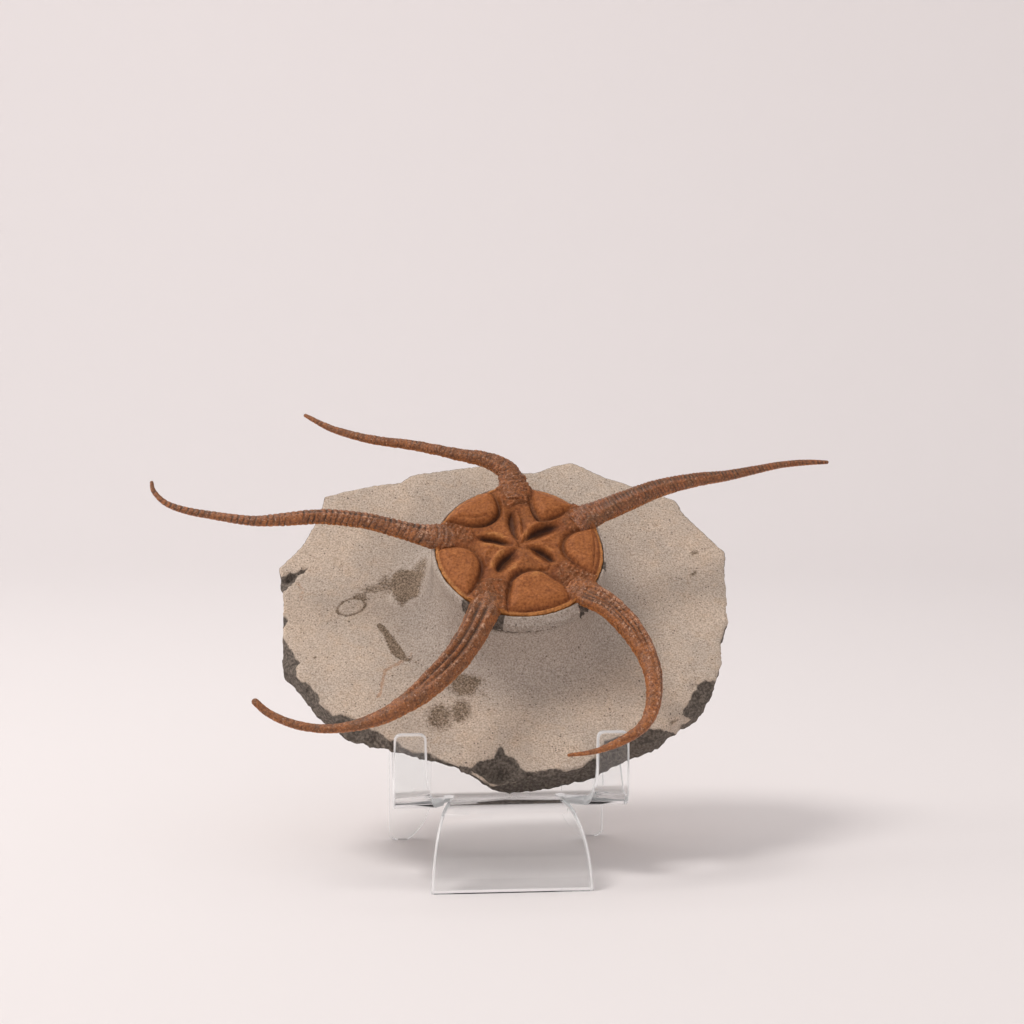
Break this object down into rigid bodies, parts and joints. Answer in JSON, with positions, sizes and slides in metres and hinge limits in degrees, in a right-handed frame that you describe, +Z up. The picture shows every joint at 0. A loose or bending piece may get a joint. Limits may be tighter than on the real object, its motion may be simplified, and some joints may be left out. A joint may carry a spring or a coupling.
{
  "type": "fossil brittle star",
  "caption": "Fossil brittle star standing free on a carved pedestal of its stone slab, which leans on a clear easel.",
  "frame": {"origin": "on the standing surface, under the middle of the whole piece", "axes": "+Z up, -Y towards someone facing the star, +X to their right"},
  "size_m": [0.2002, 0.1048, 0.1257],
  "materials": {
    "disc_calcite": "fine-grained, satin, orange brown",
    "arm_calcite": "fine-grained, satin, reddish brown",
    "limestone": "matt, air-abraded, with fresh dark chips",
    "clear_acrylic": "clear, flame-polished edges"
  },
  "bodies": {
    "root": {"central_disc": "disc_calcite", "arm_back_left": "arm_calcite", "arm_left": "arm_calcite", "arm_right": "arm_calcite", "arm_front_left": "arm_calcite", "arm_front_right": "arm_calcite", "matrix_slab": "limestone", "acrylic_easel": "clear_acrylic"}
  },
  "joints": []
}
